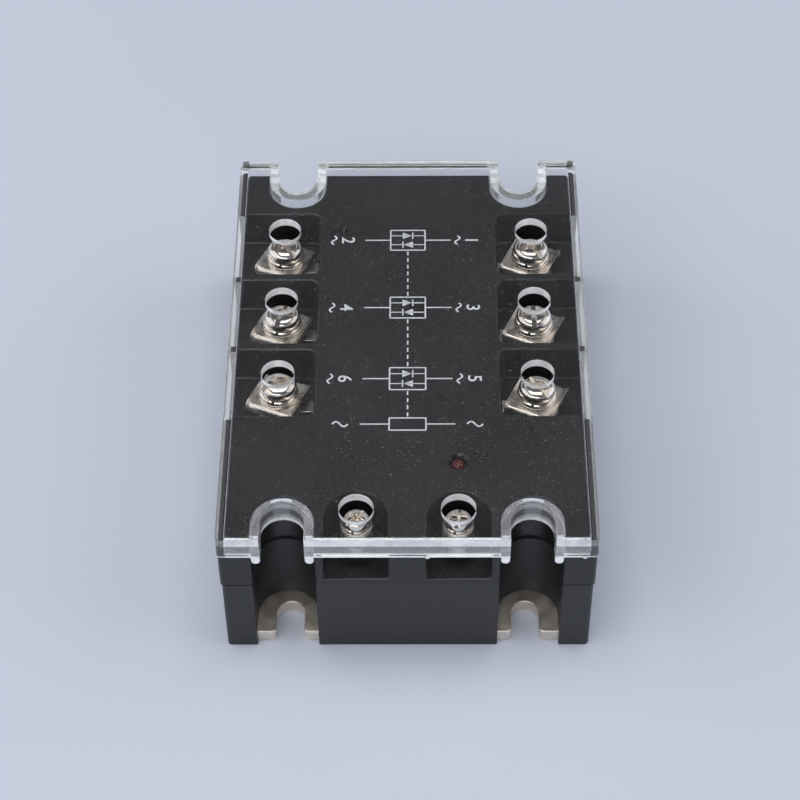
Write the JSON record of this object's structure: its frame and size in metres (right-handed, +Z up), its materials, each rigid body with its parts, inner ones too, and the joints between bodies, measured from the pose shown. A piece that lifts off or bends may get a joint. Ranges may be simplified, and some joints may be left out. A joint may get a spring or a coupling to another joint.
{
  "type": "solid state relay",
  "caption": "Three-phase solid state relay: a metal base plate under a black housing, screw terminals in open pockets along both sides and one end, and a clear lift-off cover.",
  "frame": {"origin": "centre of the footprint, on the underside of the base plate", "axes": "+Z up through the cover, +Y along the body away from the input terminals, +X towards power terminals 1, 3 and 5"},
  "size_m": [0.074, 0.106, 0.0355],
  "materials": {
    "base_metal": "nickel-plated, satin",
    "black_housing_lower": "fine satin moulding",
    "black_housing_upper": "fine satin moulding",
    "clear_cover": "clear, polished",
    "terminal_plate": "nickel-plated",
    "screw_plate": "bright nickel-plated",
    "ceramic": "fired alumina",
    "copper": "bonded copper",
    "silicon": "lapped silicon",
    "circuit_board": "solder mask",
    "white_plastic": "moulded",
    "film_capacitor": "epoxy-dipped",
    "resistor": "lacquered",
    "black_epoxy": "moulded",
    "blue_sleeve": "shrink sleeve",
    "red_lens": "tinted, clear",
    "potting": "cast filling"
  },
  "bodies": {
    "housing": {"base_plate": "base_metal", "lower_housing": "black_housing_lower", "upper_housing": "black_housing_upper", "ceramic_tile_1": "ceramic", "ceramic_tile_2": "ceramic", "ceramic_tile_3": "ceramic", "copper_pads_1": "copper", "copper_pads_2": "copper", "copper_pads_3": "copper", "thyristor_pair_1": "silicon", "thyristor_pair_2": "silicon", "thyristor_pair_3": "silicon", "power_terminal_1": "terminal_plate", "power_terminal_2": "terminal_plate", "power_terminal_3": "terminal_plate", "power_terminal_4": "terminal_plate", "power_terminal_5": "terminal_plate", "power_terminal_6": "terminal_plate", "power_nuts": "terminal_plate", "input_terminal_1": "terminal_plate", "input_terminal_2": "terminal_plate", "control_board": "circuit_board", "board_pillars": "white_plastic", "optocouplers": "white_plastic", "snubber_capacitors": "film_capacitor", "snubber_resistors": "resistor", "bridge_rectifier": "black_epoxy", "input_capacitor": "blue_sleeve", "status_led": "red_lens", "potting": "potting"},
    "cover": {"clear_cover": "clear_cover"},
    "clamp_1": {"clamp_plate_1": "terminal_plate", "washers_1": "screw_plate"},
    "screw_1": {"power_screw_1": "screw_plate"},
    "clamp_2": {"clamp_plate_2": "terminal_plate", "washers_2": "screw_plate"},
    "screw_2": {"power_screw_2": "screw_plate"},
    "clamp_3": {"clamp_plate_3": "terminal_plate", "washers_3": "screw_plate"},
    "screw_3": {"power_screw_3": "screw_plate"},
    "clamp_4": {"clamp_plate_4": "terminal_plate", "washers_4": "screw_plate"},
    "screw_4": {"power_screw_4": "screw_plate"},
    "clamp_5": {"clamp_plate_5": "terminal_plate", "washers_5": "screw_plate"},
    "screw_5": {"power_screw_5": "screw_plate"},
    "clamp_6": {"clamp_plate_6": "terminal_plate", "washers_6": "screw_plate"},
    "screw_6": {"power_screw_6": "screw_plate"},
    "input_clamp_1": {"input_clamp_1": "terminal_plate", "input_washers_1": "screw_plate"},
    "input_screw_1": {"input_screw_1": "screw_plate"},
    "input_clamp_2": {"input_clamp_2": "terminal_plate", "input_washers_2": "screw_plate"},
    "input_screw_2": {"input_screw_2": "screw_plate"}
  },
  "joints": [
    {"name": "cover_lift", "type": "slide", "parent": "housing", "child": "cover", "axis": [0, 0, 1], "range_m": [0, 0.03]},
    {"name": "clamp_lift_1", "type": "slide", "parent": "housing", "child": "clamp_1", "axis": [0, 0, 1], "range_m": [-0.0005, 0.0013]},
    {"name": "screw_turn_1", "type": "hinge", "parent": "clamp_1", "child": "screw_1", "pos_m": [0.0265, 0.0293, 0.0295], "axis": [0, 0, 1], "range_deg": [-262.3, 673.7]},
    {"name": "clamp_lift_2", "type": "slide", "parent": "housing", "child": "clamp_2", "axis": [0, 0, 1], "range_m": [-0.00055, 0.00125]},
    {"name": "screw_turn_2", "type": "hinge", "parent": "clamp_2", "child": "screw_2", "pos_m": [-0.0265, 0.0293, 0.0295], "axis": [0, 0, 1], "range_deg": [-288, 648]},
    {"name": "clamp_lift_3", "type": "slide", "parent": "housing", "child": "clamp_3", "axis": [0, 0, 1], "range_m": [-0.0006, 0.0012]},
    {"name": "screw_turn_3", "type": "hinge", "parent": "clamp_3", "child": "screw_3", "pos_m": [0.0265, 0.00935, 0.0295], "axis": [0, 0, 1], "range_deg": [-313.7, 622.3]},
    {"name": "clamp_lift_4", "type": "slide", "parent": "housing", "child": "clamp_4", "axis": [0, 0, 1], "range_m": [-0.00075, 0.00105]},
    {"name": "screw_turn_4", "type": "hinge", "parent": "clamp_4", "child": "screw_4", "pos_m": [-0.0265, 0.00935, 0.0295], "axis": [0, 0, 1], "range_deg": [-390.9, 545.1]},
    {"name": "clamp_lift_5", "type": "slide", "parent": "housing", "child": "clamp_5", "axis": [0, 0, 1], "range_m": [-0.0005, 0.0013]},
    {"name": "screw_turn_5", "type": "hinge", "parent": "clamp_5", "child": "screw_5", "pos_m": [0.0265, -0.0106, 0.0295], "axis": [0, 0, 1], "range_deg": [-262.3, 673.7]},
    {"name": "clamp_lift_6", "type": "slide", "parent": "housing", "child": "clamp_6", "axis": [0, 0, 1], "range_m": [-0.0015, 0.0003]},
    {"name": "screw_turn_6", "type": "hinge", "parent": "clamp_6", "child": "screw_6", "pos_m": [-0.0265, -0.0106, 0.0295], "axis": [0, 0, 1], "range_deg": [-776.6, 159.4]},
    {"name": "input_clamp_lift_1", "type": "slide", "parent": "housing", "child": "input_clamp_1", "axis": [0, 0, 1], "range_m": [-0.0009, 0.0009]},
    {"name": "input_screw_turn_1", "type": "hinge", "parent": "input_clamp_1", "child": "input_screw_1", "pos_m": [-0.00995, -0.045, 0.0304], "axis": [0, 0, 1], "range_deg": [-655.2, 655.2]},
    {"name": "input_clamp_lift_2", "type": "slide", "parent": "housing", "child": "input_clamp_2", "axis": [0, 0, 1], "range_m": [-0.0009, 0.0009]},
    {"name": "input_screw_turn_2", "type": "hinge", "parent": "input_clamp_2", "child": "input_screw_2", "pos_m": [0.00995, -0.045, 0.0304], "axis": [0, 0, 1], "range_deg": [-655.2, 655.2]}
  ],
  "couplings": [
    {"joint": "screw_turn_1", "follows": "clamp_lift_1", "rad_per_m": 8976},
    {"joint": "screw_turn_2", "follows": "clamp_lift_2", "rad_per_m": 8976},
    {"joint": "screw_turn_3", "follows": "clamp_lift_3", "rad_per_m": 8976},
    {"joint": "screw_turn_4", "follows": "clamp_lift_4", "rad_per_m": 8976},
    {"joint": "screw_turn_5", "follows": "clamp_lift_5", "rad_per_m": 8976},
    {"joint": "screw_turn_6", "follows": "clamp_lift_6", "rad_per_m": 8976},
    {"joint": "input_screw_turn_1", "follows": "input_clamp_lift_1", "rad_per_m": 12566},
    {"joint": "input_screw_turn_2", "follows": "input_clamp_lift_2", "rad_per_m": 12566}
  ]
}
